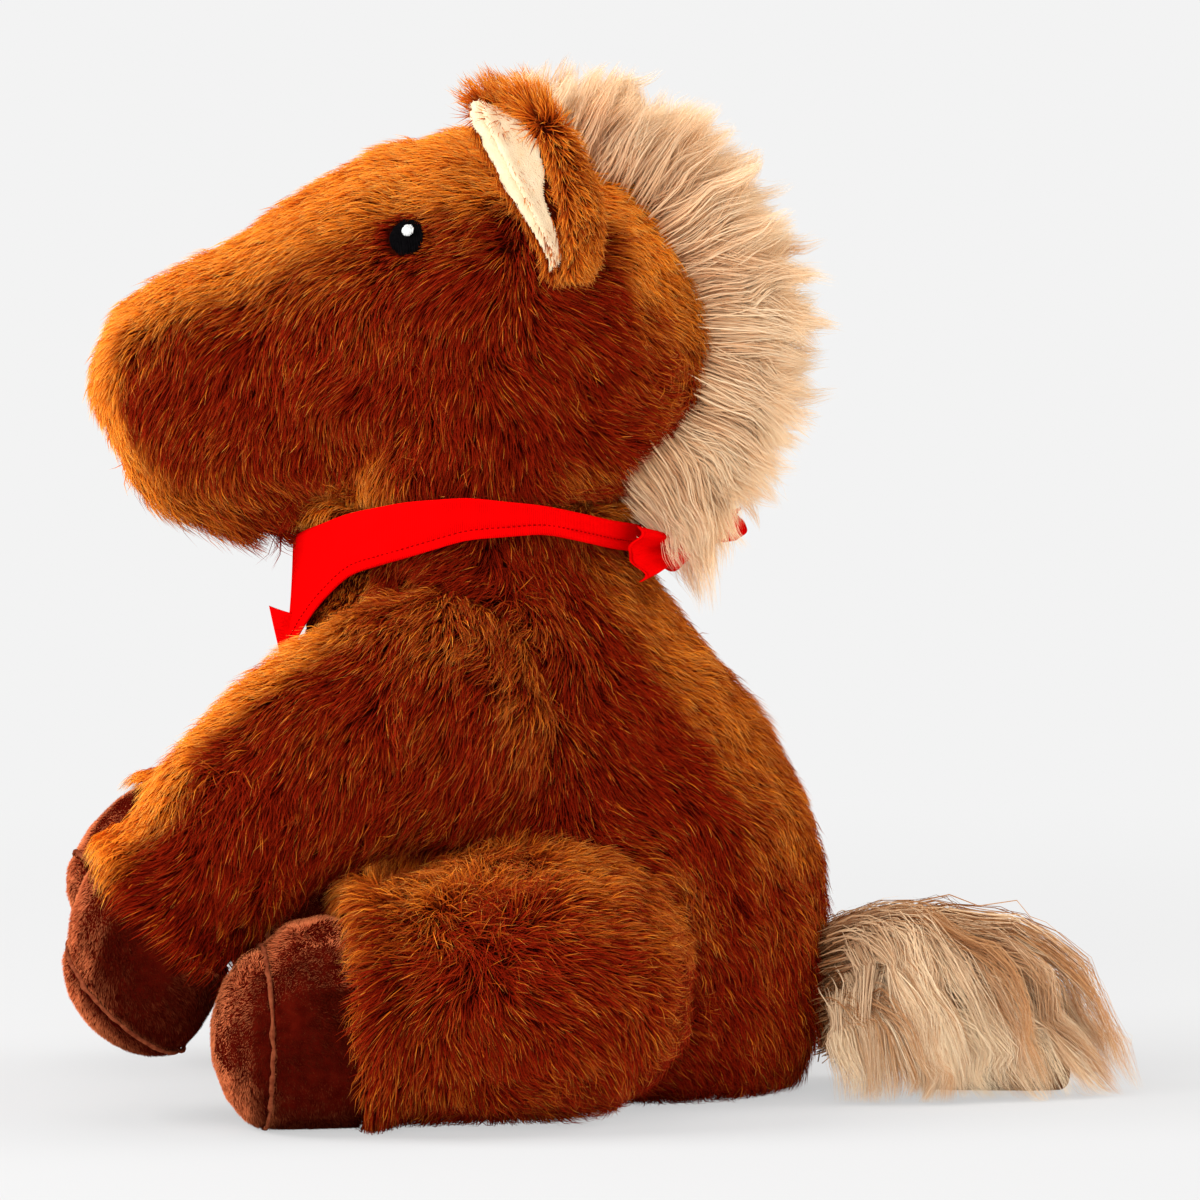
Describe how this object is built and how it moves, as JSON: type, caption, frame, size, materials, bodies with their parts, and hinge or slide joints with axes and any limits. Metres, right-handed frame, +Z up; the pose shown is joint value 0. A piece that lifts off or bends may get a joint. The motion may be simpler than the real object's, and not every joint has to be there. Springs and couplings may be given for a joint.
{
  "type": "plush horse",
  "caption": "Seated stuffed horse in long-pile fabric, with velour hooves, a blond mane and tail, stitched eyes and a red knitted bandana.",
  "frame": {"origin": "on the floor, under the middle of the whole toy's box", "axes": "+Z up, muzzle towards -Y, the horse's left side towards +X"},
  "size_m": [0.1932, 0.283, 0.2633],
  "materials": {
    "fur": "brown long-pile plush",
    "blond": "blond extra long pile",
    "hoof": "chocolate short velour",
    "cream": "cream short velour",
    "stuffing": "polyester fibre filling",
    "thread": "black satin stitch",
    "glint": "white satin stitch",
    "knit": "red fine rib knit",
    "woven": "plain woven backing"
  },
  "bodies": {
    "torso": {"torso_skin": "fur", "torso_stuffing": "stuffing", "bandana": "knit", "bandana_knot": "knit"},
    "head": {"head_skin": "fur", "head_stuffing": "stuffing", "mane_strip": "woven", "mane_pile": "blond", "left_eye": "thread", "left_eye_highlight": "glint", "right_eye": "thread", "right_eye_highlight": "glint"},
    "left_ear": {"left_ear_back": "fur", "left_ear_lining": "cream"},
    "right_ear": {"right_ear_back": "fur", "right_ear_lining": "cream"},
    "left_foreleg": {"left_foreleg_skin": "fur", "left_foreleg_stuffing": "stuffing", "left_forehoof_wall": "hoof", "left_forehoof_sole": "hoof"},
    "right_foreleg": {"right_foreleg_skin": "fur", "right_foreleg_stuffing": "stuffing", "right_forehoof_wall": "hoof", "right_forehoof_sole": "hoof"},
    "left_hindleg": {"left_hindleg_skin": "fur", "left_hindleg_stuffing": "stuffing", "left_hindhoof_wall": "hoof", "left_hindhoof_sole": "hoof"},
    "right_hindleg": {"right_hindleg_skin": "fur", "right_hindleg_stuffing": "stuffing", "right_hindhoof_wall": "hoof", "right_hindhoof_sole": "hoof"},
    "tail": {"tail_pile": "blond", "tail_strip": "woven"}
  },
  "joints": [
    {"name": "head_turn", "type": "hinge", "parent": "torso", "child": "head", "pos_m": [0, -0.03229, 0.157], "axis": [0, 0, 1], "range_deg": [-15, 15], "stiffness_Nm_per_rad": 0.3},
    {"name": "left_ear_fold", "type": "hinge", "parent": "head", "child": "left_ear", "pos_m": [0.0431, -0.00829, 0.21674], "axis": [0, 1, 0], "range_deg": [0, 35], "stiffness_Nm_per_rad": 0.004},
    {"name": "right_ear_fold", "type": "hinge", "parent": "head", "child": "right_ear", "pos_m": [-0.0431, -0.00829, 0.21674], "axis": [0, -1, 0], "range_deg": [0, 35], "stiffness_Nm_per_rad": 0.004},
    {"name": "left_foreleg_swing", "type": "hinge", "parent": "torso", "child": "left_foreleg", "pos_m": [0.045, -0.04389, 0.103], "axis": [-1, 0, 0], "range_deg": [0, 25], "stiffness_Nm_per_rad": 0.3},
    {"name": "right_foreleg_swing", "type": "hinge", "parent": "torso", "child": "right_foreleg", "pos_m": [-0.045, -0.04389, 0.1], "axis": [-1, 0, 0], "range_deg": [0, 25], "stiffness_Nm_per_rad": 0.3},
    {"name": "left_hindleg_splay", "type": "hinge", "parent": "torso", "child": "left_hindleg", "pos_m": [0.058, -0.00979, 0.036], "axis": [0, 0, 1], "range_deg": [0, 20], "stiffness_Nm_per_rad": 0.3},
    {"name": "right_hindleg_splay", "type": "hinge", "parent": "torso", "child": "right_hindleg", "pos_m": [-0.058, -0.00979, 0.036], "axis": [0, 0, -1], "range_deg": [0, 20], "stiffness_Nm_per_rad": 0.3},
    {"name": "tail_swing", "type": "hinge", "parent": "torso", "child": "tail", "pos_m": [0, 0.07001, 0.02475], "axis": [0, 0, 1], "range_deg": [-20, 20], "stiffness_Nm_per_rad": 0.05}
  ]
}
